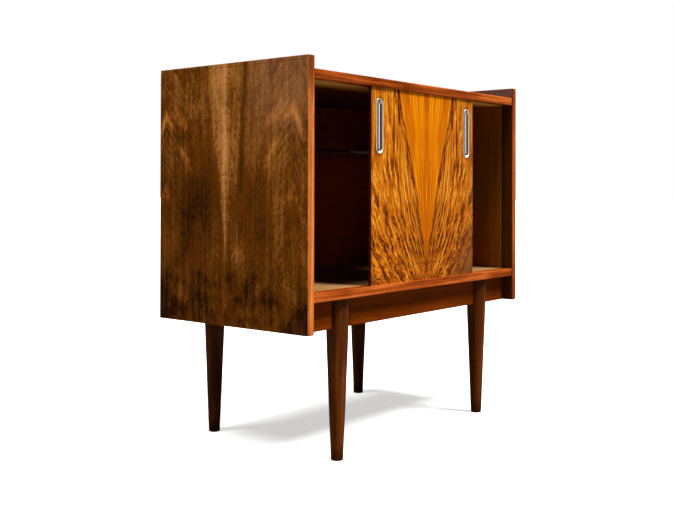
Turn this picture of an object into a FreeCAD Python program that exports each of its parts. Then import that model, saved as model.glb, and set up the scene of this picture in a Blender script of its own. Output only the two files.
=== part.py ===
import FreeCAD, Part
import math
import os

# Cellarette: a bar cabinet with two sliding doors, standing on four turned legs.
# Millimetres. X runs across the width, the front faces -Y and Z is up.
# The origin is on the floor under the middle of the cabinet.

# Cabinet
cabinet_width = 800.0
cabinet_depth = 415.0
cabinet_height = 790.0      # floor to the tops of the side panels
board = 18.0                # side panels, top and bottom
leg_height = 323.0          # floor to the underside of the bottom panel
side_drop = 60.0            # side panels and aprons below the bottom panel
top_drop = 24.0             # top surface below the tops of the side panels
lipping = 8.0               # solid wood on the side panels' front and top edges
arris = 1.2                 # rounding of the solid wood's edges
liner = 5.0                 # thin board inside each side panel

# Back
back_board = 4.0
back_rebate = 8.0           # back panel's bearing on each side panel
back_margin = 3.0           # back panel inside the top surface and the underside
back_play = 0.5
screw_head = 7.0
screw_shank = 3.2
screw_length = 16.0
screw_columns = 5           # along the top and the bottom
screw_rows = 3              # down each side
screw_corner = 60.0         # from a side panel's inside, and from the top and bottom rows

# Door tracks
track_setback = 2.0         # track lippings behind the side panels' front edges
track_lip = 4.2             # wood in front of the front groove
track_web = 2.6             # wood between the grooves, and behind the rear one
top_groove = 11.0
bottom_groove = 5.0         # shallower, so a door lifts up and swings out

# Sliding doors
door_thickness = 7.0
door_side_play = 0.4        # door in its groove, each side
door_foot_play = 0.3        # door over the floor of its groove
door_lift_spare = 0.6       # lift left over when a door clears the bottom groove
door_overlap = 32.0         # the two doors, when the cabinet is shut
door_strip = 4.0            # solid edge strips
front_door_at = 3.5         # middle of each door, from the middle of the cabinet
rear_door_at = 19.0

# Door pulls, pressed from sheet
pull_length = 118.0
pull_width = 26.0
pull_rim = 3.0
pull_sheet = 0.8
pull_floor = 6.0            # flat width at the bottom of the trough
pull_steps = 3              # slopes that make up the trough's rounded wall
pull_rim_chamfer = 0.4
pull_back_gap = 0.8         # cup behind the door's back face
pull_play = 0.2             # cup in its slot
pull_edge = 29.0            # middle of a pull from its edge of the door
pull_below_top = 80.5       # middle of a pull below the underside of the top

# Shelf
shelf_glass = 6.0
shelf_depth = 205.0
shelf_to_top = 121.0        # room over the shelf, for glasses
shelf_end_play = 1.0
shelf_back_play = 1.0
shelf_arris = 0.6
pin_diameter = 5.0
pin_in_side = 5.0           # spigot in the side panel, behind the liner
pin_inset = 32.0            # pins from the front and back of the glass
pin_blade_length = 9.0
pin_blade_width = 10.0
pin_blade = 3.0

# Legs
front_leg_spacing = 536.0
rear_leg_spacing = 524.0
front_leg_inset = 36.0      # leg axis behind the front of the cabinet
rear_leg_inset = 24.0       # leg axis before the back of the cabinet
leg_top_diameter = 46.0
leg_foot_diameter = 24.4
leg_neck = 12.0             # straight length at the top
leg_round = 50.0            # tangent length of the curve between neck and taper
leg_foot_chamfer = 1.5
bolt_diameter = 8.0
bolt_in_leg = 30.0
bolt_cover = 6.0            # bottom panel left over a bolt

# Aprons
apron_board = 18.0
apron_to_axis = 8.7         # apron's outer face outside the leg axes
apron_gap = 5.0             # between a leg and the apron boards beside it

# Tongues: panels housed in the sides, aprons housed in the bottom panel
tongue = 8.0
tongue_length = 7.0
tongue_side_play = 0.1
tongue_end_play = 0.3
hole_play = 0.15            # round every bolt, pin and screw
fastener_sides = 6          # they are small and hidden, so six sides are round enough

# Planes worked out from the sizes above
front = -cabinet_depth / 2
back = cabinet_depth / 2
inside = cabinet_width / 2 - board
liner_face = inside - liner
side_low = leg_height - side_drop
bottom_high = leg_height + board
top_high = cabinet_height - top_drop
top_low = top_high - board
groove = door_thickness + 2 * door_side_play
track_front = front + track_setback
front_groove = track_front + track_lip
rear_groove = front_groove + groove + track_web
panel_front = rear_groove + groove + track_web
panel_back = back - back_board
door_width = inside + door_overlap / 2
door_low = bottom_high - bottom_groove + door_foot_play
door_high = top_low + top_groove - bottom_groove - door_lift_spare
cup_depth = door_thickness - pull_back_gap
cup_width = pull_width - 2 * pull_rim
cup_length = pull_length - 2 * pull_rim
shelf_low = top_low - shelf_to_top - shelf_glass
shelf_back = panel_back - shelf_back_play
shelf_front = shelf_back - shelf_depth

# Middle heights of the two panels, and the leg axes
panel_middles = {"bottom": leg_height + board / 2, "top": top_low + board / 2}
leg_rows = {
    "front": (front_leg_spacing / 2, front + front_leg_inset),
    "rear": (rear_leg_spacing / 2, back - rear_leg_inset),
}
leg_places = [(side * x, y) for x, y in leg_rows.values() for side in (-1, 1)]


def point(x, y, z):
    return FreeCAD.Vector(x, y, z)


def block(xs, ys, zs):
    low = point(min(xs), min(ys), min(zs))
    return Part.makeBox(abs(xs[1] - xs[0]), abs(ys[1] - ys[0]), abs(zs[1] - zs[0]), low)


def ring(centre, along, diameter):
    turn = FreeCAD.Rotation(point(0, 0, 1), along)
    angles = [2 * math.pi * (i + 0.5) / fastener_sides for i in range(fastener_sides + 1)]
    spokes = [point(math.cos(angle), math.sin(angle), 0) * (diameter / 2) for angle in angles]
    return Part.makePolygon([centre + turn.multVec(spoke) for spoke in spokes])


def rod(start, end, diameter, play=0.0):
    along = (end - start).normalize()
    section = Part.Face(ring(start - along * play, along, diameter + 2 * play))
    return section.extrude(end - start + along * 2 * play)


def cut_away(solid, tools):
    for tool in tools:
        solid = solid.cut(tool)
    return solid


def on_plane(edge, axis, value):
    return all(abs(getattr(vertex, axis) - value) < 1e-6 for vertex in edge.Vertexes)


def along_axis(edge, axis):
    ends = [getattr(vertex, axis) for vertex in edge.Vertexes]
    return abs(abs(ends[0] - ends[-1]) - edge.Length) < 1e-6


def save(name, shape):
    shape.exportStep("parts/" + name + ".step")


# Tongues, bolts, screws and the room cut for them


def panel_tongue(side, level, side_play=0.0, end_play=0.0):
    half = tongue / 2 + side_play
    z = panel_middles[level]
    xs = (side * inside, side * (inside + tongue_length + end_play))
    return block(xs, (panel_front, panel_back), (z - half, z + half))


def apron_tongue(apron, side_play=0.0, end_play=0.0):
    left, right, outer, inner = apron
    half = tongue / 2 + side_play
    y = (outer + inner) / 2
    return block((left, right), (y - half, y + half), (leg_height, leg_height + tongue_length + end_play))


def leg_bolt(place, play=0.0):
    low = point(place[0], place[1], leg_height - bolt_in_leg)
    high = point(place[0], place[1], bottom_high - bolt_cover)
    return rod(low, high, bolt_diameter, play)


def back_screws(play=0.0):
    widest = inside - screw_corner
    across = [-widest + 2 * widest * i / (screw_columns - 1) for i in range(screw_columns)]
    lowest = panel_middles["bottom"] + screw_corner
    highest = panel_middles["top"] - screw_corner
    upright = [lowest + (highest - lowest) * i / (screw_rows - 1) for i in range(screw_rows)]
    places = [(x, z) for x in across for z in panel_middles.values()]
    places += [(side * (inside + back_rebate / 2), z) for side in (-1, 1) for z in upright]
    return [countersunk_screw(x, z, play) for x, z in places]


def countersunk_screw(x, z, play):
    inward = point(0, -1, 0)
    head = point(x, back, z)
    neck = head + inward * ((screw_head - screw_shank) / 2)
    outlines = [ring(head, inward, screw_head + 2 * play), ring(neck, inward, screw_shank + 2 * play)]
    shank = Part.Face(outlines[1]).extrude(head + inward * (screw_length + play) - neck)
    return Part.makeLoft(outlines, True, True).fuse(shank)


# Carcass


def side_panel(side):
    xs = (side * inside, side * cabinet_width / 2)
    panel = block(xs, (front + lipping, back), (side_low, cabinet_height - lipping))
    rebate = block(
        (side * inside, side * (inside + back_rebate + back_play)),
        (panel_back, back),
        (leg_height + back_margin - back_play, top_high - back_margin + back_play),
    )
    housings = [panel_tongue(side, level, tongue_side_play, tongue_end_play) for level in panel_middles]
    pin_holes = [shelf_pin_spigot(side, y, hole_play) for y in pin_depths()]
    return cut_away(panel, [rebate] + housings + pin_holes + back_screws(hole_play))


def side_front_lipping(side):
    xs = (side * inside, side * cabinet_width / 2)
    strip = block(xs, (front, front + lipping), (side_low, cabinet_height))
    return strip.makeFillet(arris, [edge for edge in strip.Edges if on_plane(edge, "Y", front)])


def side_top_lipping(side):
    low = cabinet_height - lipping
    xs = (side * inside, side * cabinet_width / 2)
    strip = block(xs, (front + lipping, back), (low, cabinet_height))
    upper = [edge for edge in strip.Edges if on_plane(edge, "Z", cabinet_height)]
    return strip.makeFillet(arris, [edge for edge in upper if along_axis(edge, "Y")])


def flat_panel(level):
    low = {"bottom": leg_height, "top": top_low}[level]
    panel = block((-inside, inside), (panel_front, panel_back), (low, low + board))
    for side in (-1, 1):
        panel = panel.fuse(panel_tongue(side, level))
    return cut_away(panel.removeSplitter(), back_screws(hole_play))


def bottom_panel():
    holes = [leg_bolt(place, hole_play) for place in leg_places]
    grooves = [apron_tongue(apron, tongue_side_play, tongue_end_play) for apron in aprons().values()]
    return cut_away(flat_panel("bottom"), holes + grooves)


def track_lipping(level):
    low = {"bottom": leg_height, "top": top_low}[level]
    groove_floors = {"bottom": bottom_high - bottom_groove, "top": top_low + top_groove}
    mouths = {"bottom": bottom_high, "top": top_low}
    zs = (groove_floors[level], mouths[level])
    strip = block((-inside, inside), (track_front, panel_front), (low, low + board))
    face_edges = [edge for edge in strip.Edges if on_plane(edge, "Y", track_front)]
    strip = strip.makeFillet(arris, [edge for edge in face_edges if along_axis(edge, "X")])
    grooves = [block((-inside, inside), (y, y + groove), zs) for y in (front_groove, rear_groove)]
    return cut_away(strip, grooves)


def side_liner(side):
    sheet = block((side * liner_face, side * inside), (panel_front, panel_back), (bottom_high, top_low))
    return cut_away(sheet, [shelf_pin_spigot(side, y, hole_play) for y in pin_depths()])


def back_panel():
    half = inside + back_rebate
    sheet = block((-half, half), (panel_back, back), (leg_height + back_margin, top_high - back_margin))
    return cut_away(sheet, back_screws(hole_play))


# Glass shelf and its pins


def pin_depths():
    return (shelf_front + pin_inset, shelf_back - pin_inset)


def shelf_pin_spigot(side, y, play=0.0):
    z = shelf_low - pin_diameter / 2
    inner = point(side * (liner_face - pin_blade_length), y, z)
    outer = point(side * (inside + pin_in_side), y, z)
    return rod(inner, outer, pin_diameter, play)


def shelf_pin(side, y):
    blade = block(
        (side * liner_face, side * (liner_face - pin_blade_length)),
        (y - pin_blade_width / 2, y + pin_blade_width / 2),
        (shelf_low - pin_blade, shelf_low),
    )
    return blade.fuse(shelf_pin_spigot(side, y)).removeSplitter()


def glass_shelf():
    half = liner_face - shelf_end_play
    sheet = block((-half, half), (shelf_front, shelf_back), (shelf_low, shelf_low + shelf_glass))
    return sheet.makeChamfer(shelf_arris, sheet.Edges)


# Sliding doors: each hangs in a deep top groove and stands in a shallow bottom one


def oblong_outline(width, length, middle, y):
    x, z = middle
    radius = width / 2
    straight = length / 2 - radius
    left_low, left_high = point(x - radius, y, z - straight), point(x - radius, y, z + straight)
    right_low, right_high = point(x + radius, y, z - straight), point(x + radius, y, z + straight)
    edges = [
        Part.LineSegment(left_low, left_high),
        Part.Arc(left_high, point(x, y, z + straight + radius), right_high),
        Part.LineSegment(right_high, right_low),
        Part.Arc(right_low, point(x, y, z - straight - radius), left_low),
    ]
    return Part.Wire([edge.toShape() for edge in edges])


def oblong(width, length, middle, depths):
    outline = oblong_outline(width, length, middle, depths[0])
    return Part.Face(outline).extrude(point(0, depths[1] - depths[0], 0))


def pull_middle(door_middle, side):
    return (door_middle + side * (door_width / 2 - pull_edge), top_low - pull_below_top)


def door_face(groove_front):
    return groove_front + door_side_play


def door_panel(door_middle, groove_front):
    face = door_face(groove_front)
    half = door_width / 2 - door_strip
    xs = (door_middle - half, door_middle + half)
    panel = block(xs, (face, face + door_thickness), (door_low, door_high))
    slots = []
    for side in (-1, 1):
        middle = pull_middle(door_middle, side)
        size = (cup_width + 2 * pull_play, cup_length + 2 * pull_play)
        slots.append(oblong(size[0], size[1], middle, (face, face + door_thickness)))
    return cut_away(panel, slots)


def door_edge_strips(door_middle, groove_front):
    face = door_face(groove_front)
    strips = []
    for side in (-1, 1):
        outer = door_middle + side * door_width / 2
        inner = outer - side * door_strip
        strip = block((inner, outer), (face, face + door_thickness), (door_low, door_high))
        rounded = [edge for edge in strip.Edges if on_plane(edge, "X", outer) and along_axis(edge, "Z")]
        strips.append(strip.makeFillet(arris, rounded))
    return Part.makeCompound(strips)


def pull_hollow(middle, face):
    # Pressed trough: steep at the mouth, then rounding in to a narrow floor.
    mouth_y = face - pull_sheet
    floor_y = face + cup_depth - pull_sheet
    mouth = cup_width - 2 * pull_sheet
    turn_in = (mouth - pull_floor) / 2
    outlines = []
    for i in range(pull_steps + 1):
        angle = math.pi / 2 * i / pull_steps
        width = pull_floor + 2 * turn_in * math.cos(angle)
        length = cup_length - cup_width + width
        y = mouth_y + (floor_y - mouth_y) * math.sin(angle)
        outlines.append(oblong_outline(width, length, middle, y))
    return Part.makeLoft(outlines, True, True)


def door_pull(door_middle, groove_front, side):
    # Flat rim on the door's face, cup through the door, trough pressed into both.
    face = door_face(groove_front)
    middle = pull_middle(door_middle, side)
    rim = oblong(pull_width, pull_length, middle, (face - pull_sheet, face))
    rim_edges = [edge for edge in rim.Edges if on_plane(edge, "Y", face - pull_sheet)]
    rim = rim.makeChamfer(pull_rim_chamfer, rim_edges)
    cup = oblong(cup_width, cup_length, middle, (face, face + cup_depth))
    return rim.fuse(cup).cut(pull_hollow(middle, face)).removeSplitter()


# Aprons and legs


def aprons():
    boards = {}
    clear = leg_top_diameter / 2 + apron_gap
    for row, inward in (("front", 1), ("rear", -1)):
        leg_x, leg_y = leg_rows[row]
        outer = leg_y - inward * apron_to_axis
        inner = outer + inward * apron_board
        boards[row + "_apron_left"] = (-inside, -leg_x - clear, outer, inner)
        boards[row + "_apron_centre"] = (-leg_x + clear, leg_x - clear, outer, inner)
        boards[row + "_apron_right"] = (leg_x + clear, inside, outer, inner)
    return boards


def apron_solid(apron):
    left, right, outer, inner = apron
    plank = block((left, right), (outer, inner), (side_low, leg_height))
    face_edges = [edge for edge in plank.Edges if on_plane(edge, "Y", outer)]
    plank = plank.makeFillet(arris, [edge for edge in face_edges if not on_plane(edge, "Z", leg_height)])
    return plank.fuse(apron_tongue(apron)).removeSplitter()


def leg_profile():
    # Half section from the foot's middle up: chamfer, straight taper, long tangent curve, neck.
    top = leg_top_diameter / 2
    foot = leg_foot_diameter / 2
    neck_low = leg_height - leg_neck
    corner = neck_low - leg_round
    lean = math.atan2(top - foot, corner)
    curve_radius = leg_round / math.tan(lean / 2)
    sink, rise = curve_radius * (1 - math.cos(lean / 2)), curve_radius * math.sin(lean / 2)
    toe = point(foot + leg_foot_chamfer * math.tan(lean), 0, leg_foot_chamfer)
    curve_low = point(top - leg_round * math.sin(lean), 0, corner - leg_round * math.cos(lean))
    curve_high = point(top, 0, neck_low)
    lower = [point(0, 0, 0), point(foot - leg_foot_chamfer, 0, 0), toe, curve_low]
    upper = [curve_high, point(top, 0, leg_height), point(0, 0, leg_height), lower[0]]
    edges = [Part.LineSegment(a, b) for corners in (lower, upper) for a, b in zip(corners, corners[1:])]
    edges.insert(len(lower) - 1, Part.Arc(curve_low, point(top - sink, 0, neck_low - rise), curve_high))
    return Part.Wire([edge.toShape() for edge in edges])


def turned_leg(place):
    leg = Part.Face(leg_profile()).revolve(point(0, 0, 0), point(0, 0, 1), 360)
    leg.translate(point(place[0], place[1], 0))
    return leg.cut(leg_bolt(place, hole_play))


def main():
    os.makedirs("parts", exist_ok=True)
    for side, name in ((-1, "left"), (1, "right")):
        save(name + "_side_panel", side_panel(side))
        save(name + "_front_lipping", side_front_lipping(side))
        save(name + "_top_lipping", side_top_lipping(side))
        save(name + "_liner", side_liner(side))
    save("top_panel", flat_panel("top"))
    save("bottom_panel", bottom_panel())
    for level in panel_middles:
        save(level + "_track_lipping", track_lipping(level))
    save("back_panel", back_panel())
    save("back_screws", Part.makeCompound(back_screws()))

    save("glass_shelf", glass_shelf())
    pins = [shelf_pin(side, y) for side in (-1, 1) for y in pin_depths()]
    save("shelf_pins", Part.makeCompound(pins))

    doors = (("front", front_door_at, front_groove), ("rear", rear_door_at, rear_groove))
    for name, middle, groove_front in doors:
        save(name + "_door_panel", door_panel(middle, groove_front))
        save(name + "_door_edge_strips", door_edge_strips(middle, groove_front))
        pulls = [door_pull(middle, groove_front, side) for side in (-1, 1)]
        save(name + "_door_pulls", Part.makeCompound(pulls))

    for name, apron in aprons().items():
        save(name, apron_solid(apron))
    for row, (x, y) in leg_rows.items():
        save(row + "_legs", Part.makeCompound([turned_leg((-x, y)), turned_leg((x, y))]))
    save("leg_bolts", Part.makeCompound([leg_bolt(place) for place in leg_places]))


main()
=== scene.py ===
import bpy
import numpy as np
from mathutils import Matrix, Vector


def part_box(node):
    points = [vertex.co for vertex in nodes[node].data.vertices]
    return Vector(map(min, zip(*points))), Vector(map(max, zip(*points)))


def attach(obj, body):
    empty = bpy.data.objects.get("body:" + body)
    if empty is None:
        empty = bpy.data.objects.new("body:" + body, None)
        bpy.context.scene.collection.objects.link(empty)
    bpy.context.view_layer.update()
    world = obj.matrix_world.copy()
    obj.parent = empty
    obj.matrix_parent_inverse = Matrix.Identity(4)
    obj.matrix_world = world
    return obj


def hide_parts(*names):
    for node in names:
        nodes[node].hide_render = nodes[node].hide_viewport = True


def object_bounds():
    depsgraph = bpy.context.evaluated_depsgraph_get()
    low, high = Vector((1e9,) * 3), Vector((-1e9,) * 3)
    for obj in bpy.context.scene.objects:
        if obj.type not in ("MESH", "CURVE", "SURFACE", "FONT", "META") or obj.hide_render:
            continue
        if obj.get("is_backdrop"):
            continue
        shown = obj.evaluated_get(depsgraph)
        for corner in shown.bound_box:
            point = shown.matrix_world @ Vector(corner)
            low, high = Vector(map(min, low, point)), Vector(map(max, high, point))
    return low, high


# Cellarette with sliding doors: finishes, turned legs, pressed pulls and small fittings over the packed
# model. Metres, in the model's own frame: the front faces -Y, Z is up, the floor is at zero.

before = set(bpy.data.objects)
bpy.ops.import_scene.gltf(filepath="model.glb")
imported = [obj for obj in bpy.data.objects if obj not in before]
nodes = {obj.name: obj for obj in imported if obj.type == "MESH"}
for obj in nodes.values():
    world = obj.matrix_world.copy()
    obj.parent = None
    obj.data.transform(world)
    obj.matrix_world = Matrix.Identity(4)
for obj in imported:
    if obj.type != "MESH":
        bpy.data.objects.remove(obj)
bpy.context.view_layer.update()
mm = 0.001


def boxOf(node):
    low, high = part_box(node)
    return np.array(low), np.array(high)


def dress(node, material):
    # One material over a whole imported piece
    nodes[node].data.materials.clear()
    nodes[node].data.materials.append(material)


# Meshes from whole arrays

# "grid" steps to a metre tell points apart. "edgeDrop" is how far the largest part of a direction falls on
# the way to the middle of a rounded edge. Faces as square to an axis as "faced" take a second material.
meshing = {"grid": 1e7, "edgeDrop": 0.29, "faced": 0.95}


def gridFaces(rows, columns, start):
    # Quads between neighbouring rows; the last column joins the first.
    r, c = np.meshgrid(np.arange(rows - 1), np.arange(columns), indexing="ij")
    n = (c + 1) % columns
    quads = np.stack([r * columns + c, r * columns + n, (r + 1) * columns + n, (r + 1) * columns + c], -1)
    return quads.reshape(-1, 4) + start


def makePiece(name, grids, material, body, replaced, normals=None, facedWith=None, edges=None):
    # Each grid is rows x columns x 3 and closes on itself.
    # Equal points are merged, so poles and seams are shut.
    points = np.concatenate([g.reshape(-1, 3) for g in grids])
    starts = np.cumsum([0] + [g.shape[0] * g.shape[1] for g in grids])
    quads = np.concatenate([gridFaces(g.shape[0], g.shape[1], s) for g, s in zip(grids, starts)])
    pieceOf = np.repeat(np.arange(len(grids)), np.diff(starts))
    keys = np.column_stack([np.round(points * meshing["grid"]), pieceOf])
    first, merged = np.unique(keys, axis=0, return_index=True, return_inverse=True)[1:]
    quads = merged.reshape(-1)[quads]
    faces = [tuple(dict.fromkeys(q)) for q in quads.tolist()]
    mesh = bpy.data.meshes.new(name)
    mesh.from_pydata(points[first].tolist(), [], [f for f in faces if len(f) > 2])
    mesh.update()
    mesh.shade_smooth()
    mesh.materials.append(material)
    if normals is not None:
        flat = np.concatenate([n.reshape(-1, 3) for n in normals])[first]
        mesh.normals_split_custom_set_from_vertices(flat.tolist())
        # One along the middle of a rounded edge, zero where a flat face begins
        edges = np.clip((1 - np.abs(flat).max(1)) / meshing["edgeDrop"], 0, 1)
    elif edges is not None:
        edges = np.concatenate([e.ravel() for e in edges])[first]
    if edges is not None:
        mesh.attributes.new("edge", "FLOAT", "POINT").data.foreach_set("value", edges.astype(np.float32))
    if facedWith is not None:
        veneer, axis = facedWith
        mesh.materials.append(veneer)
        outward = np.empty(len(mesh.polygons) * 3, np.float32)
        mesh.polygons.foreach_get("normal", outward)
        faced = np.abs(outward.reshape(-1, 3)[:, "XYZ".index(axis)]) > meshing["faced"]
        mesh.polygons.foreach_set("material_index", faced.astype(np.int32))
    piece = bpy.data.objects.new(name, mesh)
    bpy.context.scene.collection.objects.link(piece)
    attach(piece, body)
    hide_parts(*replaced)


def roundedBoard(low, high, radius, steps=3):
    # A point is a corner of the box shrunk by the radius, plus the radius along a direction of turn and
    # tilt. Each quarter turn and each half of the tilt keeps its own corner, with the flats between them.
    quarter = np.linspace(0, np.pi / 2, steps + 1)
    turn = (np.arange(4)[:, None] * np.pi / 2 + quarter).ravel()
    tilt = np.concatenate([quarter - np.pi / 2, quarter])[:, None]
    direction = np.stack(np.broadcast_arrays(np.cos(tilt) * np.cos(turn), np.cos(tilt) * np.sin(turn),
                                             np.sin(tilt)), -1)
    signX = np.repeat([1, -1, -1, 1], steps + 1)
    signY = np.repeat([1, 1, -1, -1], steps + 1)
    signZ = np.repeat([-1, 1], steps + 1)[:, None]
    corner = np.stack(np.broadcast_arrays(signX, signY, signZ), -1)
    low, high = np.array(low), np.array(high)
    points = (low + high) / 2 + corner * ((high - low) / 2 - radius) + radius * direction
    middle = np.broadcast_to(points.mean(1, keepdims=True)[[0, -1]], (2, len(turn), 3))
    capNormal = np.broadcast_to(np.array([[[0, 0, -1.0]], [[0, 0, 1.0]]]), middle.shape)
    points = np.concatenate([middle[:1], points, middle[1:]])
    direction = np.concatenate([capNormal[:1], direction, capNormal[1:]])
    return points, direction


def lathe(radius, height, centre, sides):
    # A radius at each height, carried round a full turn about an upright axis.
    angle = np.linspace(0, 2 * np.pi, sides, endpoint=False)
    return np.stack(np.broadcast_arrays(centre[0] + radius[:, None] * np.cos(angle),
                                        centre[1] + radius[:, None] * np.sin(angle),
                                        centre[2] + height[:, None]), -1)


# Shader arithmetic

class Wire:
    # A socket that takes plain sums: every operation adds one Math node.
    def __init__(self, tree, socket):
        self.tree = tree
        self.socket = socket

    def math(self, operation, *others):
        node = self.tree.nodes.new("ShaderNodeMath")
        node.operation = operation
        for slot, value in enumerate((self,) + others):
            plug(self.tree, node.inputs[slot], value)
        return Wire(self.tree, node.outputs[0])

    def __add__(self, other):
        return self.math("ADD", other)

    def __sub__(self, other):
        return self.math("SUBTRACT", other)

    def __mul__(self, other):
        return self.math("MULTIPLY", other)

    def __truediv__(self, other):
        return self.math("DIVIDE", other)

    def __rsub__(self, other):
        return self.math("MULTIPLY", -1.0).math("ADD", other)

    __radd__ = __add__
    __rmul__ = __mul__

    def abs(self):
        return self.math("ABSOLUTE")

    def exp(self):
        return self.math("EXPONENT")

    def log(self):
        return self.math("LOGARITHM", float(np.e))

    def bell(self, middle, width):
        # One at the middle, falling off smoothly over the width.
        away = (self - middle) / width
        return (away * away * -1.0).exp()

    def rise(self, start, end):
        # Zero before the start, one after the end, smooth between.
        node = self.tree.nodes.new("ShaderNodeMapRange")
        node.interpolation_type = "SMOOTHSTEP"
        plug(self.tree, node.inputs["Value"], self)
        plug(self.tree, node.inputs["From Min"], min(start, end))
        plug(self.tree, node.inputs["From Max"], max(start, end))
        step = Wire(self.tree, node.outputs["Result"])
        return step if start < end else 1.0 - step


def plug(tree, socket, value):
    if isinstance(value, Wire):
        tree.links.new(value.socket, socket)
    else:
        socket.default_value = value


def noise(tree, x, y, z, detail, rough=0.5):
    spot = tree.nodes.new("ShaderNodeCombineXYZ")
    for socket, value in zip(spot.inputs, (x, y, z)):
        plug(tree, socket, value)
    node = tree.nodes.new("ShaderNodeTexNoise")
    node.inputs["Scale"].default_value = 1.0
    node.inputs["Detail"].default_value = detail
    node.inputs["Roughness"].default_value = rough
    tree.links.new(spot.outputs[0], node.inputs["Vector"])
    return Wire(tree, node.outputs[0])


def grain(tree, mark, across, along):
    # Noise with marks of a set width and length; seed, detail and roughness follow them in the list.
    width, length, seed, detail, rough = mark
    return noise(tree, across / width, along / length, seed, detail, rough)


def ramp(tree, value, places, colours):
    node = tree.nodes.new("ShaderNodeValToRGB")
    bar = node.color_ramp.elements
    while len(bar) < len(places):
        bar.new(1.0)
    for element, place, colour in zip(bar, places, colours):
        element.position = place
        element.color = (*colour, 1.0)
    plug(tree, node.inputs[0], value)
    return Wire(tree, node.outputs[0])


def blendColours(tree, share, first, second):
    node = tree.nodes.new("ShaderNodeMix")
    node.data_type = "RGBA"
    plug(tree, node.inputs[0], share)
    for socket, value in ((node.inputs[6], first), (node.inputs[7], second)):
        plug(tree, socket, value if isinstance(value, Wire) else (*value, 1.0))
    return Wire(tree, node.outputs[2])


def newMaterial(name):
    material = bpy.data.materials.new(name)
    material.use_nodes = True
    tree = material.node_tree
    where = tree.nodes.new("ShaderNodeTexCoord")
    split = tree.nodes.new("ShaderNodeSeparateXYZ")
    tree.links.new(where.outputs["Object"], split.inputs[0])
    x, y, z = [Wire(tree, s) * (1.0 / mm) for s in split.outputs]    # millimetres from here on
    return material, tree, tree.nodes["Principled BSDF"], x, y, z


def facing(tree, axis):
    # The surface's own outward direction along one axis, from minus one to one.
    shape = tree.nodes.new("ShaderNodeNewGeometry")
    split = tree.nodes.new("ShaderNodeSeparateXYZ")
    tree.links.new(shape.outputs["True Normal"], split.inputs[0])
    return Wire(tree, split.outputs["XYZ".index(axis)])


def worn(tree):
    # The rounded edges of a piece, as left on its mesh.
    node = tree.nodes.new("ShaderNodeAttribute")
    node.attribute_name = "edge"
    return Wire(tree, node.outputs["Fac"])


# Height of the grain's relief in metres at full strength
reliefHeight = 0.0002


def varnish(tree, shader, colour, relief, finish):
    # Colour, roughness that follows the grain, and a little relief.
    tree.links.new(colour.socket, shader.inputs["Base Color"])
    plug(tree, shader.inputs["Roughness"], finish["rough"] + relief * finish["roughSpread"])
    shader.inputs["Specular IOR Level"].default_value = finish["specular"]
    bump = tree.nodes.new("ShaderNodeBump")
    bump.inputs["Strength"].default_value = finish["bump"]
    bump.inputs["Distance"].default_value = reliefHeight
    plug(tree, bump.inputs["Height"], relief)
    tree.links.new(bump.outputs[0], shader.inputs["Normal"])


# Sliding doors: golden veneer, bookmatched about each door's middle

doorVeneer = {
    # Four colours from dark to light, outside the plain funnel and inside it, and one of dulled varnish
    # and painted shade
    "figured": ((0.045, 0.0078, 0.0008), (0.145, 0.0285, 0.0018),
                (0.380, 0.0980, 0.0030), (0.600, 0.270, 0.0230)),
    "plain": ((0.045, 0.0078, 0.0008), (0.145, 0.0285, 0.0018),
              (0.376, 0.084, 0.0006), (0.590, 0.205, 0.0010)),
    "places": (0.10, 0.34, 0.66, 0.92),
    "dullAndShade": (0.122, 0.039, 0.0100), "dullFoot": 0.5, "paintedShadeRight": 0.30,
    "seam": 3.5, "pullRim": 13.0,
    # Growth lines: how the fan opens sideways, how the climb flattens upwards, and the waver of both
    "fan": 0.0329, "fanReach": 217.0, "climb": 460.0, "climbLength": 400.0,
    "slope": 0.33, "sag": 0.00033, "start": 52.0, "drift": 9.0, "lift": 28.0, "jag": 14.0, "toe": 12.0,
    # Outside the funnel the lines stand steeper, and upright beside the pulls
    "pivot": 120.0, "steeper": 0.56,
    "uprightFrom": 110.0, "uprightRate": 1.3, "uprightStart": 179.5, "uprightShare": 0.8,
    # Marks: width and length in millimetres, or in steps along the grain, then seed, detail and roughness.
    # A ray's width is a slope.
    "marks": {
        "drift": (55.0, 80.0, 1.0, 3.0, 0.5), "lift": (26.0, 50.0, 5.0, 3.0, 0.5),
        "jag": (10.0, 24.0, 3.0, 2.0, 0.6), "rays": (0.0208333, 300.0, 6.0, 3.0, 0.62),
        "streaks": (11.5, 1.11111, 83.0, 3.0, 0.62), "broad": (34.0, 2.0, 9.0, 2.0, 0.5),
        "strand": (9.5, 0.76923, 8.0, 2.0, 0.6), "veins": (18.0, 1.0, 14.0, 2.0, 0.6),
        "flecks": (6.0, 10.0, 7.0, 2.0, 0.6), "knots": (11.0, 38.0, 7.0, 2.0, 0.6),
        "fibre": (3.4, 90.0, 3.0, 3.0, 0.6), "pores": (0.9, 14.0, 4.0, 2.0, 0.5),
    },
    # How far each of them moves the tone
    "depth": {
        "middle": 0.82, "funnel": 0.15, "fibre": 0.44, "strand": 0.46, "rays": 0.7, "highRays": 0.7,
        "glow": 0.06, "brown": 0.29, "broad": 0.24, "right": 0.05, "upright": 0.3, "high": 0.2,
        "patch": 0.36, "foot": 0.16, "lower": 0.07, "middleFoot": 0.09, "bound": 0.58, "veins": 0.26,
        "pores": 0.08, "grime": 0.26,
    },
    "finish": {"rough": 0.34, "roughSpread": 0.10, "specular": 0.010, "bump": 0.10},
}


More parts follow.
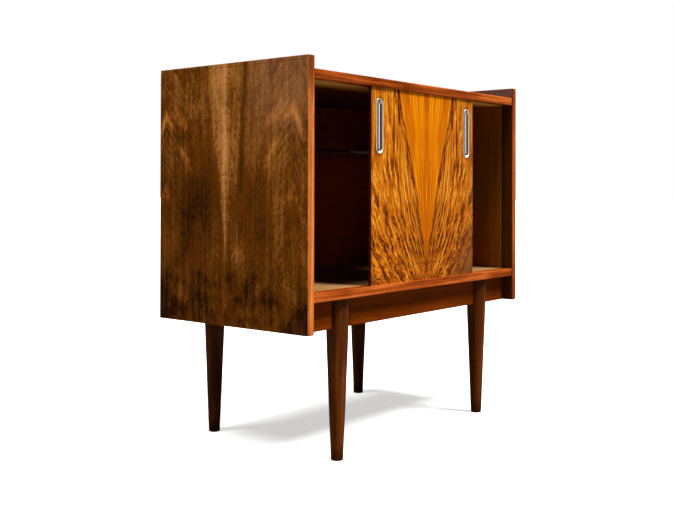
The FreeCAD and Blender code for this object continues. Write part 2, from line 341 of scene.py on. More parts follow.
def doorMaterial(name, door):
    look = doorVeneer
    marks, depth = look["marks"], look["depth"]
    low, high = boxOf(door)
    middle = (low[0] + high[0]) / 2 / mm + look["seam"]
    material, tree, shader, x, y, z = newMaterial(name)
    offset = x - middle
    side = offset.abs()
    height = z - low[2] / mm
    drift = grain(tree, marks["drift"], x, z) - 0.5
    lift = grain(tree, marks["lift"], side, z) - 0.5
    jag = grain(tree, marks["jag"], side, height) - 0.5
    # Growth lines are level lines of climb minus fan: Vs that rise from the foot of the middle
    # and open outwards. The fan is a logarithm of the side distance, the climb an exponential approach
    # to a limit plus a shallow parabola.
    fan = (side + drift * look["drift"]).math("MAXIMUM", 0.0)
    fan = (fan * look["fan"] + 1.0).log() * look["fanReach"]
    climb = (1.0 - (height * (-1.0 / look["climbLength"])).exp()) * look["climb"]
    climb = climb + height * look["slope"] - height * height * look["sag"] - look["start"]
    base = climb - fan + lift * look["lift"]
    funnel = base.rise(-8.0, 14.0)
    outside = 1.0 - funnel
    # Steeper lines towards the edges, upright ones beside the pulls
    upright = height.rise(210.0, 330.0) * side.rise(70.0, 125.0)
    line = base - (height - look["pivot"]) * side.rise(25.0, 125.0) * look["steeper"]
    beside = (look["uprightFrom"] - side) * look["uprightRate"] - look["uprightStart"]
    line = line + (beside - line) * upright * look["uprightShare"]
    line = line + (1.0 - (height / -30.0).exp()) * side.rise(70.0, 150.0) * look["toe"]
    line = line + jag * outside * look["jag"]
    along = (height + 60.0).math("MAXIMUM", 1.0).log() * 2.6
    streaks, broad = [grain(tree, marks[n], line, along) for n in ("streaks", "broad")]
    strand, veins = [grain(tree, marks[n], line, along) for n in ("strand", "veins")]
    knots, fibre, pores = [grain(tree, marks[n], line, height) for n in ("knots", "fibre", "pores")]
    flecks = grain(tree, marks["flecks"], side, height)
    # In the plain funnel, straight rays from the foot of the middle
    rays = grain(tree, marks["rays"], side / (height - 20.0).math("MAXIMUM", 30.0), height)
    # Brown streaks, dark patches beside the pulls, dark lines along the funnel, a dull lower right corner
    lower = height.rise(260.0, 60.0)
    brown = streaks + (broad - 0.5) * 0.22 + (flecks - 0.5) * lower * 0.24 + lower * 0.03
    brown = brown.rise(0.46, 0.62) * outside
    patch = side.bell(124.0, 4.0) + side.bell(143.0, 3.0) * 0.6 + side.bell(104.0, 3.0) * 0.7
    patch = patch * height.rise(240.0, 320.0) * knots.rise(0.30, 0.55)
    bound = (base.bell(-8.0, 6.0) + base.bell(-28.0, 7.0) * 0.8) * knots.rise(0.36, 0.58)
    foot = side.rise(60.0, 180.0) * height.rise(140.0, 20.0) * offset.rise(-160.0, 60.0)
    middleFoot = side.bell(0.0, 36.0) * height.rise(130.0, 30.0)
    brownDepth = depth["brown"] + broad * depth["broad"] + offset.rise(-110.0, 30.0) * depth["right"]
    brownDepth = brownDepth * (1.0 - upright * depth["upright"])
    brownDepth = brownDepth * (1.0 - height.rise(110.0, 230.0) * depth["high"])
    rayDepth = depth["rays"] + height.rise(90.0, 260.0) * depth["highRays"]
    tone = depth["middle"] + (fibre - 0.5) * depth["fibre"] + (strand - 0.5) * depth["strand"]
    tone = tone + funnel * ((rays - 0.5) * rayDepth - depth["funnel"])
    tone = tone + funnel * side.bell(30.0, 18.0) * depth["glow"]
    tone = tone - brown * brownDepth - patch * depth["patch"] - bound * depth["bound"]
    tone = tone - foot * depth["foot"] - lower * depth["lower"] - middleFoot * depth["middleFoot"]
    tone = tone - veins.bell(0.5, 0.045) * outside * depth["veins"]
    tone = tone - pores.rise(0.62, 0.75) * depth["pores"]
    # Grime and painted shade in a thin dark ring round the pulls: distance from an upright line through
    # each
    first, last = [corner / mm for corner in boxOf(door.replace("panel", "pulls"))]
    reach = (last - first) / 2 - look["pullRim"]
    across = (x - (first[0] + last[0]) / 2).abs() - reach[0]
    beyond = ((z - (first[2] + last[2]) / 2).abs() - reach[2]).math("MAXIMUM", 0.0)
    ring = (across * across + beyond * beyond).math("SQRT") - look["pullRim"]
    tone = tone - ring.bell(0.4, 2.4) * depth["grime"]
    figured, plain = [ramp(tree, tone, look["places"], look[n]) for n in ("figured", "plain")]
    colour = blendColours(tree, funnel, figured, plain)
    # Dulled varnish in the lower right corner, and painted shade over the door's right side
    dulledAndShaded = foot * look["dullFoot"] + offset.rise(100.0, 200.0) * look["paintedShadeRight"]
    colour = blendColours(tree, dulledAndShaded, colour, look["dullAndShade"])
    varnish(tree, shader, colour, fibre, look["finish"])
    return material


doorVeneers = {row: doorMaterial(row + "DoorVeneer", row + "_door_panel") for row in ("front", "rear")}
for row, veneer in doorVeneers.items():
    dress(row + "_door_panel", veneer)
print("doors veneered")


# Side panels: dark walnut, bookmatched about a seam near the middle of the depth

sideVeneer = {
    # Four colours from dark to light, three of the inner face, and the casts that lie over them
    "colours": ((0.015, 0.0042, 0.0005), (0.085, 0.0240, 0.0015),
                (0.213, 0.077, 0.0130), (0.410, 0.168, 0.0470)),
    "places": (0.08, 0.38, 0.60, 0.90),
    "inside": ((0.028, 0.007, 0.0008), (0.056, 0.0150, 0.0020), (0.096, 0.030, 0.0050)),
    "insidePlaces": (0.25, 0.5, 0.75),
    "faded": (0.105, 0.060, 0.0480), "flame": (0.440, 0.120, 0.0100), "red": (0.110, 0.0250, 0.0012),
    "haze": (0.235, 0.105, 0.0650), "hazeShare": 0.20, "redShare": 0.45, "flameShare": 0.6,
    "seam": 11.0, "arch": 182.0, "drift": 14.0, "ripple": 16.0,
    # Marks: width and length in millimetres, seed, detail and roughness
    "marks": {
        "drift": (60.0, 130.0, 3.0, 3.0, 0.5), "ripple": (14.0, 40.0, 6.0, 2.0, 0.5),
        "streaks": (10.0, 230.0, 1.0, 4.0, 0.62), "bands": (11.0, 60.0, 2.0, 3.0, 0.66),
        "flecks": (4.5, 11.0, 11.0, 3.0, 0.65), "fibre": (2.6, 40.0, 2.0, 3.0, 0.6),
        "hatch": (6.0, 26.0, 5.0, 3.0, 0.6), "feather": (3.6, 45.0, 9.0, 1.0, 0.5),
        "cloud": (48.0, 95.0, 4.0, 3.0, 0.5), "blotch": (30.0, 34.0, 8.0, 3.0, 0.5),
        "cast": (26.0, 120.0, 13.0, 3.0, 0.6), "plain": (7.0, 240.0, 7.0, 3.0, 0.6),
    },
    # How far each of them moves the tone
    "depth": {
        "middle": 0.42, "streaks": 0.60, "bands": 0.70, "fibre": 0.30, "funnelFibre": 0.35, "cloud": 0.50,
        "flankCloud": 0.35, "flecks": 0.54, "flankFlecks": 0.16, "hatch": 0.20, "funnelHatch": 0.36,
        "rear": 0.09, "upper": 0.09, "lower": 0.07,
        "funnel": 0.05, "funnelBehind": 0.25, "funnelAhead": 0.10, "bound": 0.20, "boundBehind": 0.10,
        "flank": 0.175, "column": 0.04, "seam": 0.10, "flames": 0.38, "slants": 0.16, "pale": 0.12,
        "feather": 0.55, "blotch": 0.85, "foot": 0.05, "corner": 0.30, "rearArch": 0.06, "seamFoot": 0.10,
    },
    "finish": {"rough": 0.40, "roughSpread": 0.12, "specular": 0.008, "bump": 0.10},
}


def sideMaterial(name, panel):
    look = sideVeneer
    marks, depth = look["marks"], look["depth"]
    material, tree, shader, x, y, z = newMaterial(name)
    drift = grain(tree, marks["drift"], y, z) - 0.5
    ripple = grain(tree, marks["ripple"], y, z) - 0.5
    rear = y - look["seam"]
    side = rear.abs() + drift * look["drift"]
    height = z - boxOf(panel)[0][2] / mm
    # Growth lines stand almost upright at the seam, lean over outwards and arch near the edges
    out = (side - look["arch"]).math("MAXIMUM", 0.0)
    inner = (look["arch"] - side).math("MAXIMUM", 0.0)
    line = height + inner * 0.7 + inner * inner / 260.0 + out * 2.2
    line = line + (side.abs() / -32.0).exp() * 200.0 + ripple * look["ripple"]
    streaks = grain(tree, marks["streaks"], side + ripple * 7.0, height)
    bands = grain(tree, marks["bands"], line, side)
    flecks = grain(tree, marks["flecks"], side + ripple * 6.0, height + ripple * 20.0)
    fibre = grain(tree, marks["fibre"], side + ripple * 3.0, height)
    hatch = grain(tree, marks["hatch"], height + side * 0.7 + ripple * 14.0, side - height * 0.9)
    feather = grain(tree, marks["feather"], height - side * 1.3, side)
    cloud, blotch, cast = [grain(tree, marks[n], y, z) for n in ("cloud", "blotch", "cast")]
    outer = side.rise(60.0, 130.0) * (0.25 + height.rise(230.0, 420.0) * 0.75)
    # One on the rear half, which is the darker sheet, and one in the middle of the front half
    behind = rear.rise(-8.0, 6.0)
    ahead = (1.0 - behind) * height.bell(280.0, 85.0)
    # Light funnel up the seam with dark streaks beside it, dark flanks below, flames at the arches
    spread = 5.0 + 46.0 * height.rise(120.0, 520.0) + (streaks - 0.5) * 26.0 + ahead * 16.0
    funnel = (side / spread.math("MAXIMUM", 3.0)).rise(1.4, 0.1) * height.rise(70.0, 260.0)
    bound = (side - spread).bell(5.0, 7.0) * height.rise(200.0, 330.0) * (0.2 + flecks * 1.4)
    flank = side.bell(76.0, 52.0) * (height + side * 0.5).bell(298.0, 95.0) * (0.55 + behind * 0.45)
    flames = line.bell(430.0, 13.0) + line.bell(272.0, 12.0) * 0.4
    flames = flames * side.bell(184.0, 24.0) * blotch.rise(0.28, 0.55)
    slants = line.bell(468.0, 9.0) + line.bell(405.0, 10.0)
    slants = slants * side.bell(128.0, 24.0) * cloud.rise(0.4, 0.6)
    pale = side.bell(147.0, 24.0) * height.bell(165.0, 55.0)
    strokes = side.bell(28.0, 26.0) * height.bell(150.0, 34.0)
    column = rear.bell(9.0, 9.0) * height.rise(170.0, 90.0)
    corner = side.rise(120.0, 205.0) * height.rise(95.0, 5.0)
    foot = height.rise(150.0, 60.0)
    rearArch = behind * side.rise(55.0, 110.0) * height.bell(395.0, 55.0)
    funnelDepth = depth["funnel"] + behind * depth["funnelBehind"] + ahead * depth["funnelAhead"]
    tone = depth["middle"] + (streaks - 0.5) * depth["streaks"] + (bands - 0.5) * outer * depth["bands"]
    tone = tone + (fibre - 0.5) * (depth["fibre"] + funnel * depth["funnelFibre"])
    tone = tone + (hatch - 0.5) * (depth["hatch"] + funnel * depth["funnelHatch"])
    tone = tone + (cloud - 0.5) * (depth["cloud"] - flank * depth["flankCloud"])
    tone = tone + (flecks - 0.5) * (depth["flecks"] - flank * depth["flankFlecks"])
    tone = tone + height.rise(220.0, 470.0) * depth["upper"] - height.rise(330.0, 200.0) * depth["lower"]
    tone = tone - rear.rise(20.0, 90.0) * depth["rear"] - rearArch * depth["rearArch"]
    tone = tone - flank * depth["flank"] - corner * depth["corner"]
    tone = tone + funnel * funnelDepth - bound * (depth["bound"] - behind * depth["boundBehind"])
    tone = tone + rear.bell(2.0, 2.4) * height.rise(20.0, 200.0) * depth["seam"] + column * depth["column"]
    tone = tone + (flames * depth["flames"] + slants * depth["slants"]) * (0.4 + bands)
    tone = tone + (feather - 0.5) * strokes * depth["feather"] + pale * depth["pale"]
    tone = tone + foot * ((blotch - 0.5) * depth["blotch"] - depth["foot"])
    tone = tone - foot * side.bell(0.0, 75.0) * depth["seamFoot"]
    colour = ramp(tree, tone, look["places"], look["colours"])
    # A reddish cast that comes and goes, orange in the flames, a haze at the top of the front half
    reddish = cast.rise(0.50, 0.66) * look["redShare"] * (1.0 - funnel)
    orange = (flames + slants * 0.6).math("MINIMUM", 1.0) * flecks.rise(0.34, 0.60) * look["flameShare"]
    hazy = (1.0 - behind) * side.rise(30.0, 110.0) * height.rise(330.0, 480.0) * look["hazeShare"]
    for share, over in ((reddish, "red"), (orange, "flame"), (hazy, "haze")):
        colour = blendColours(tree, share, colour, look[over])
    inside = (facing(tree, "X") * (1.0 if panel.startswith("left") else -1.0)).rise(0.3, 0.8)
    plain = grain(tree, marks["plain"], y, z) * 0.7 + fibre * 0.3
    innerFace = ramp(tree, plain, look["insidePlaces"], look["inside"])
    # The strip of inner face above the top board stands in the light and has faded
    boardTop = boxOf("top_panel")[1][2] / mm
    strip = z.rise(boardTop - 1.0, boardTop + 8.0) * (0.45 + plain * 0.6)
    colour = blendColours(tree, inside, colour, blendColours(tree, strip, innerFace, look["faded"]))
    varnish(tree, shader, colour, fibre, look["finish"])
    return material


sideVeneers = {hand: sideMaterial(hand + "SideVeneer", hand + "_side_panel") for hand in ("left", "right")}
for hand, veneer in sideVeneers.items():
    dress(hand + "_side_panel", veneer)
print("sides veneered")


# Straight-grained woods

# Marks: width and length along the grain in millimetres, then detail and roughness
woodMarks = {"wave": (40.0, 160.0, 2.0, 0.5), "cloud": (60.0, 110.0, 2.0, 0.5),
             "fibre": (0.9, 45.0, 3.0, 0.6), "pores": (0.5, 7.0, 1.0, 0.5),
             "rubbed": (9.0, 24.0, 3.0, 0.6)}
woodPlaces = (0.12, 0.50, 0.88)
waveReach, bandLength = 5.0, 260.0


def straightWood(name, look):
    # Grain runs along one axis; bands, fibre and short dark pores are stretched that way.
    material, tree, shader, x, y, z = newMaterial(name)
    axes = {"x": (x, y, z), "y": (y, x, z), "z": (z, x, y)}
    along, a, b = axes[look["grain"]]

    def stretched(width, length, detail, rough):
        return noise(tree, a / width, b / width, along / length, detail, rough)

    wave = (stretched(*woodMarks["wave"]) - 0.5) * waveReach
    a = a + wave
    b = b + wave
    bands = stretched(look["band"], bandLength, 3.0, 0.55)
    cloud, fibre, pores, rubbed = [stretched(*woodMarks[n]) for n in ("cloud", "fibre", "pores", "rubbed")]
    tone = 0.5 + (bands - 0.5) * look["bandDepth"] + (fibre - 0.5) * look["fibreDepth"]
    tone = tone + (cloud - 0.5) * look.get("cloudDepth", 0.35) - pores.rise(0.60, 0.72) * look["poreDepth"]
    # Rounded edges: grime along them, rubbed through to lighter wood in places
    tone = tone + worn(tree) * (rubbed.rise(0.50, 0.64) * 0.55 - 0.22)
    # Darker towards the ends: dirt on the feet of the legs, painted shade towards the ends of the side
    # lippings
    if "ends" in look:
        low, high, reach, depth = look["ends"]
        tone = tone - (along.rise(low + reach, low) + along.rise(high - reach, high)) * depth
    colour = ramp(tree, tone, woodPlaces, look["colours"])
    if "behind" in look:
        axis, colours = look["behind"]
        other = ramp(tree, tone, woodPlaces, colours)
        colour = blendColours(tree, facing(tree, axis).rise(-0.4, 0.4), other, colour)
    # Painted shade: a darker colour further back, only on faces that look the given way where one is given
    if "deep" in look:
        start, end, side, shadeColour = look["deep"]
        share = y.rise(start, end)
        if side:
            share = share * (facing(tree, "Z") * side).rise(-0.4, 0.4)
        colour = blendColours(tree, share, colour, shadeColour)
    varnish(tree, shader, colour, fibre, look["finish"])
    return material


satin = {"rough": 0.40, "roughSpread": 0.12, "specular": 0.008, "bump": 0.08}
matt = {"rough": 0.66, "roughSpread": 0.12, "specular": 0.05, "bump": 0.10}

# Each wood has a dark, a middle and a light colour.
# "behind" gives the colours of faces that look down the named axis.
# "ends" gives the lowest and highest point, how far the darkening reaches and its depth.
# "deep" gives where a darker colour of painted shade starts and is full, which way its faces look and the
# colour itself.
redWood = {"colours": ((0.075, 0.012, 0.0012), (0.235, 0.048, 0.0062), (0.430, 0.120, 0.0230)),
           "band": 6.0, "bandDepth": 1.1, "fibreDepth": 0.6, "poreDepth": 0.25, "finish": satin}
trackRed = ((0.078, 0.0112, 0.0014), (0.250, 0.0445, 0.0052), (0.450, 0.1120, 0.0200))
# Painted shade: the door strips' side faces take these near-black reds
shadedEdgeRed = ((0.016, 0.0020, 0.0002), (0.052, 0.0080, 0.0008), (0.120, 0.0280, 0.0050))
leftRed = ((0.125, 0.027, 0.0050), (0.420, 0.112, 0.0200), (0.600, 0.206, 0.0480))
legWood = {"colours": ((0.019, 0.0042, 0.0007), (0.075, 0.0170, 0.0022), (0.163, 0.045, 0.0062)),
           "ends": (2.0, 900.0, 40.0, 0.30),
           "band": 7.0, "bandDepth": 0.8, "fibreDepth": 0.45, "poreDepth": 0.2,
           "grain": "z", "finish": {**satin, "rough": 0.30, "specular": 0.015}}
# Painted shade: the rear legs take this darker copy of the leg colours
shadedLegColours = ((0.013, 0.0034, 0.0007), (0.048, 0.0120, 0.0020), (0.115, 0.034, 0.0056))
apronWood = {"colours": ((0.041, 0.0065, 0.0002), (0.115, 0.0195, 0.0005), (0.205, 0.044, 0.0014)),
             "band": 8.0, "bandDepth": 0.7, "fibreDepth": 0.45, "poreDepth": 0.2,
             "grain": "x", "finish": {**satin, "specular": 0.004}}
paleWood = {"colours": ((0.130, 0.065, 0.0230), (0.216, 0.109, 0.0420), (0.290, 0.166, 0.0730)),
            "behind": ("Z", ((0.110, 0.048, 0.0150), (0.190, 0.090, 0.0300), (0.270, 0.140, 0.0500))),
            "band": 14.0, "bandDepth": 0.6, "fibreDepth": 0.4, "poreDepth": 0.1,
            "grain": "x", "finish": satin}
linerWood = {"colours": ((0.175, 0.047, 0.0016), (0.385, 0.112, 0.0036), (0.560, 0.185, 0.0085)),
             # Painted shade: the liners' front edges, which look down -Y, are near black
             "behind": ("Y", ((0.006, 0.0010, 0.0002), (0.010, 0.0016, 0.0003), (0.016, 0.0030, 0.0005))),
             # Painted shade: the liners darken further back
             "deep": (-165.0, -112.0, 0, (0.190, 0.048, 0.0050)),
             "band": 11.0, "bandDepth": 0.7, "fibreDepth": 0.45, "poreDepth": 0.15,
             "grain": "z", "finish": satin}
topWood = {"colours": ((0.035, 0.012, 0.0020), (0.110, 0.040, 0.0070), (0.200, 0.085, 0.0170)),
           "behind": ("Z", ((0.430, 0.170, 0.0300), (0.640, 0.265, 0.0520), (0.780, 0.350, 0.0900))),
           # Painted shade: the underside of the top darkens further back
           "deep": (-168.0, -82.0, -1.0, (0.090, 0.018, 0.0040)),
           "band": 16.0, "bandDepth": 0.9, "fibreDepth": 0.4, "poreDepth": 0.2,
           "grain": "x", "finish": satin}
backWood = {"colours": ((0.060, 0.026, 0.0090), (0.105, 0.050, 0.0190), (0.150, 0.078, 0.0320)),
            # Painted shade: the back's inner face, which looks down -Y, takes these dark red colours
            "behind": ("Y", ((0.062, 0.0068, 0.0008), (0.125, 0.0136, 0.0015), (0.175, 0.0230, 0.0030))),
            "band": 5.0, "bandDepth": 0.5, "fibreDepth": 0.4, "poreDepth": 0.1,
            "grain": "x", "finish": matt}

woodLooks = {
    # The lippings' darker ends are painted shade
    "leftLipping": {**redWood, "grain": "z", "colours": leftRed, "ends": (200.0, 800.0, 125.0, 0.36)},
    "rightLipping": {**redWood, "grain": "z", "ends": (260.0, 800.0, 125.0, 0.24)},
    "depthLipping": {**redWood, "grain": "y"},
    "trackLipping": {**redWood, "grain": "x", "colours": trackRed, "bandDepth": 1.5, "cloudDepth": 0.8},
    "frontLeg": legWood,
    "rearLeg": {**legWood, "colours": shadedLegColours},
    "apronBoard": apronWood,
    "paleBoard": paleWood,
    "linerBoard": linerWood,
    "topBoard": topWood,
    "backBoard": backWood,
    "doorEdge": {**redWood, "grain": "z", "colours": shadedEdgeRed},
}
woods = {name: straightWood(name, look) for name, look in woodLooks.items()}

carried = {"top_track_lipping": "trackLipping", "bottom_track_lipping": "trackLipping",
           "top_panel": "topBoard", "bottom_panel": "paleBoard",
           "left_liner": "linerBoard", "right_liner": "linerBoard", "back_panel": "backBoard"}
for node, wood in carried.items():
    dress(node, woods[wood])
print("boards finished")


# Lippings, aprons and door strips: boards with softened edges

lipping = {"frontRadius": 1.2, "topRadius": 1.0}
for hand in ("left", "right"):
    edged = [("FrontLipping", "_front_lipping", hand + "Lipping", lipping["frontRadius"]),
             ("TopLipping", "_top_lipping", "depthLipping", lipping["topRadius"])]
    for title, node, wood, radius in edged:
        points, normals = roundedBoard(*boxOf(hand + node), radius * mm)
        # The veneer of the side panels runs out over the faces of their lippings
        makePiece(hand + title, [points], woods[wood], "cabinet", [hand + node], [normals],
                  (sideVeneers[hand], "X"))

apron = {"radius": 1.2, "tongue": 7.0}
for row in ("front", "rear"):
    for place in ("left", "centre", "right"):
        node = row + "_apron_" + place
        low, high = boxOf(node)
        points, normals = roundedBoard(low, high - [0, 0, apron["tongue"] * mm], apron["radius"] * mm)
        makePiece(row + "Apron" + place.title(), [points], woods["apronBoard"], "cabinet", [node],
                  [normals])

strip = {"width": 4.0, "radius": 1.2}
for row in ("front", "rear"):
    node = row + "_door_edge_strips"
    low, high = boxOf(node)
    width = strip["width"] * mm
    ends = [(low, [low[0] + width, high[1], high[2]]), ([high[0] - width, low[1], low[2]], high)]
    boards = [roundedBoard(a, b, strip["radius"] * mm) for a, b in ends]
    makePiece(row + "DoorStrips", [b[0] for b in boards], woods["doorEdge"], row + "_door", [node],
              [b[1] for b in boards], (doorVeneers[row], "Y"))
print("edges softened")


# Legs: straight taper, a long curve into a short neck, softened foot

leg = {"top": 46.0, "foot": 24.4, "height": 323.0, "neck": 12.0, "round": 50.0, "toe": 1.5, "brim": 0.5,
       "gap": 4.0, "toeSteps": 7, "taperSteps": 18, "bendSteps": 20, "sides": 72}


def legOutline():
    # Radius over height: foot round, taper line, arc tangent to taper and neck, neck.
    top, foot = leg["top"] / 2, leg["foot"] / 2
    neckLow = leg["height"] - leg["neck"]
    corner = neckLow - leg["round"]
    lean = np.arctan2(top - foot, corner)
    bend = leg["round"] / np.tan(lean / 2)
    bendLow = corner - leg["round"]
    height = np.concatenate([np.linspace(0, leg["toe"], leg["toeSteps"]),
                             np.linspace(leg["gap"], bendLow, leg["taperSteps"]),
                             np.linspace(bendLow + leg["gap"], neckLow, leg["bendSteps"]),
                             [neckLow + leg["gap"], leg["height"] - leg["brim"]]])
    taper = foot + height * np.tan(lean)
    curve = top - bend + np.sqrt(np.maximum(bend ** 2 - (neckLow - height) ** 2, 0))
    curveLow = corner - leg["round"] * np.cos(lean)
    radius = np.where(height < curveLow, taper, np.where(height < neckLow, curve, top))
    toe = np.clip(1 - height / leg["toe"], 0, 1)
    radius = radius - leg["toe"] * (1 - np.sqrt(1 - toe ** 2))
    height = np.concatenate([[0], height, [leg["height"], leg["height"]]])
    radius = np.concatenate([[0], radius, [top, 0]])
    return radius * mm, height * mm


for row in ("front", "rear"):
    low, high = boxOf(row + "_legs")
    y = (low[1] + high[1]) / 2
    reach = leg["top"] / 2 * mm
    legs = [lathe(*legOutline(), (x, y, 0), leg["sides"]) for x in (low[0] + reach, high[0] - reach)]
    makePiece(row + "Legs", legs, woods[row + "Leg"], "cabinet", [row + "_legs"])
print("legs turned")


# Pulls: oblong cups pressed from sheet and plated

plate = {"rim": (0.96, 0.81, 0.67), "trough": (0.42, 0.35, 0.30), "worn": (0.30, 0.24, 0.18),
         # The grime colour is dirt and painted shade in the trough's ends
         "grime": (0.07, 0.055, 0.04), "scuff": (3.0, 16.0), "scuffShare": 0.35,
         "spot": 1.6, "spotShare": 0.4,
         "rough": 0.11, "rimRough": 0.48, "wearRough": 0.16, "dirtAndShadeRough": 0.3}
pull = {"half": 13.0, "raise": 0.6, "straight": 45.6, "rim": 12.2, "cup": 10.0, "mouth": 9.6, "depth": 6.2,
        "sheet": 0.8, "bead": 0.5, "step": 0.3, "ease": 0.6, "sectionSteps": 13, "endSteps": 25,
        "brightFrom": 0.9, "endDull": 0.4, "dirtAndShadeFrom": 0.1, "dirtAndShade": 0.8}


def plateMaterial():
    material, tree, shader, x, y, z = newMaterial("pullPlate")
    width, length = plate["scuff"]
    scuff = noise(tree, x / width, y / width, z / length, 4.0, 0.7)
    spots = noise(tree, x / plate["spot"], y / plate["spot"], z / plate["spot"], 2.0)
    wear = scuff.rise(0.56, 0.74) * plate["scuffShare"] + spots.rise(0.66, 0.74) * plate["spotShare"]
    # Fingers keep the rim bright; the trough has gone dull
    edge = worn(tree)
    rim = edge.math("MAXIMUM", 0.0)
    # Dirt and painted shade in the trough's two ends
    dirtAndShade = (0.0 - edge).math("MAXIMUM", 0.0)
    colour = blendColours(tree, rim, plate["trough"], plate["rim"])
    colour = blendColours(tree, wear, colour, plate["worn"])
    colour = blendColours(tree, dirtAndShade, colour, plate["grime"])
    tree.links.new(colour.socket, shader.inputs["Base Color"])
    shader.inputs["Metallic"].default_value = 1.0
    rough = plate["rough"] + rim * (plate["rimRough"] - plate["rough"])
    plug(tree, shader.inputs["Roughness"], rough + wear * plate["wearRough"] + dirtAndShade * plate["dirtAndShadeRough"])
    return material


def pullSurface(middle, face):
    # A section from the trough's floor over a low beaded rim and down the cup's back, carried round an
    # oblong, which is every point at one distance from a short upright line. Trough and bead are parts of
    # ellipses.
    bend = np.linspace(0, np.pi / 2, pull["sectionSteps"])
    bead = np.linspace(0, np.pi, pull["sectionSteps"])
    half = (pull["rim"] - pull["mouth"]) / 2
    base = pull["bead"] - pull["sheet"]
    fall = pull["depth"] - pull["bead"]
    trough = np.stack([pull["mouth"] * np.sin(bend), base + fall * np.cos(bend)], -1)
    rim = np.stack([pull["mouth"] + half * (1 - np.cos(bead)), base - pull["bead"] * np.sin(bead)], -1)
    cup, deep, ease = pull["cup"], pull["depth"], pull["ease"]
    outside = np.array([[pull["rim"], 0], [cup, 0], [cup, pull["step"]],
                        [cup, deep - ease], [cup - ease, deep], [0, deep]])
    section = np.concatenate([trough, rim[1:], outside]) * mm
    turn = np.linspace(0, np.pi, pull["endSteps"])
    angle = np.concatenate([turn, turn + np.pi])
    end = np.repeat([1.0, -1.0], len(turn)) * pull["straight"] * mm
    distance, depth = section[:, :1], section[:, 1:]
    surface = np.stack(np.broadcast_arrays(middle[0] + distance * np.cos(angle), face + depth,
                                           middle[1] + end + distance * np.sin(angle)), -1)
    # Above zero is the bright rim, a little duller at both ends
    bright = np.clip((distance / mm - pull["mouth"]) / pull["brightFrom"] + 1, 0, 1)
    bright = bright * (1 - pull["endDull"] * np.sin(angle) ** 2)
    # Below zero is dirt and painted shade, which gather in the trough's two ends
    dirtAndShade = np.abs(distance * np.sin(angle)) / mm / pull["mouth"] - pull["dirtAndShadeFrom"]
    dirtAndShade = np.clip(dirtAndShade, 0, pull["dirtAndShade"])
    return surface, np.where(bright > 0, bright, -dirtAndShade)


plating = plateMaterial()
for row in ("front", "rear"):
    node = row + "_door_pulls"
    low, high = boxOf(node)
    face = low[1] + pull["sheet"] * mm
    height = (low[2] + high[2]) / 2 + pull["raise"] * mm
    inset = pull["half"] * mm
    cups = [pullSurface((x, height), face) for x in (low[0] + inset, high[0] - inset)]
    makePiece(row + "DoorPulls", [c[0] for c in cups], plating, row + "_door", [node],
              edges=[c[1] for c in cups])
print("pulls pressed")


# Glass shelf, pins and screws

glass = {"tint": (0.26, 0.31, 0.30), "smeared": (0.36, 0.42, 0.41), "smear": (60.0, 35.0, 10.0),
         "index": 1.5, "rough": 0.06, "radius": 0.6}


def glassMaterial():
    material, tree, shader, x, y, z = newMaterial("shelfGlass")
    smear = noise(tree, *[place / size for place, size in zip((x, y, z), glass["smear"])], 3.0, 0.6)
    colour = blendColours(tree, smear, glass["tint"], glass["smeared"])
    tree.links.new(colour.socket, shader.inputs["Base Color"])
    shader.inputs["Transmission Weight"].default_value = 1.0
    shader.inputs["IOR"].default_value = glass["index"]
    plug(tree, shader.inputs["Roughness"], smear.rise(0.55, 0.8) * glass["rough"])
    return material


points, normals = roundedBoard(*boxOf("glass_shelf"), glass["radius"] * mm)
makePiece("glassShelf", [points], glassMaterial(), "cabinet", ["glass_shelf"], [normals])

steel = {"colour": (0.50, 0.48, 0.44), "stain": (0.20, 0.17, 0.14), "grime": 2.0,
         "rough": 0.32, "stainRough": 0.3}


def steelMaterial():
    material, tree, shader, x, y, z = newMaterial("dullSteel")
    grime = noise(tree, x / steel["grime"], y / steel["grime"], z / steel["grime"], 4.0, 0.65)
    colour = blendColours(tree, grime.rise(0.45, 0.7), steel["colour"], steel["stain"])
    tree.links.new(colour.socket, shader.inputs["Base Color"])
    shader.inputs["Metallic"].default_value = 1.0
    plug(tree, shader.inputs["Roughness"], steel["rough"] + grime * steel["stainRough"])
    return material


screw = {"head": 3.1, "shank": 1.5, "length": 15.8, "sunk": 0.1, "slot": 0.4, "slotDepth": 0.7,
         "slices": (1, 0.97, 0.88, 0.7, 0.45, 0.2), "chordSteps": 13, "turn": 0.37,
         "columns": (-322.0, -161.0, 0.0, 161.0, 322.0), "rows": (332.0, 757.0),
         "sides": (-386.0, 386.0), "upright": (392.0, 544.5, 697.0)}


def screwHead(x, z, back):
    # Slices across the slot: over the head's face, which drops into the slot, and back under its cone.
    edge = np.array(screw["slices"]) * screw["head"]
    wall = np.array([-1, -1, 1, 1]) * screw["slot"]
    u = np.concatenate([-edge, wall, edge[::-1]])[:, None]
    face = np.zeros(len(edge) + 1)
    groove = np.concatenate([face, [1, 1], face])[:, None] * screw["slotDepth"]
    share = np.linspace(-1, 1, screw["chordSteps"])
    v = np.sqrt(np.maximum(screw["head"] ** 2 - u ** 2, 0)) * np.concatenate([share, share[::-1]])
    under = np.repeat([False, True], len(share))
    cone = np.clip(screw["head"] - np.hypot(u, v), 0, screw["head"] - screw["shank"])
    depth = np.where(under, cone, np.minimum(groove, cone)) + screw["sunk"]
    # Each slot is left at its own turn
    turn = screw["turn"] * (x + z)
    across = x + u * np.cos(turn) - v * np.sin(turn)
    upward = z + u * np.sin(turn) + v * np.cos(turn)
    return np.stack([across, back - depth, upward], -1) * mm


rodShape = {"ease": 0.25, "sides": 20}


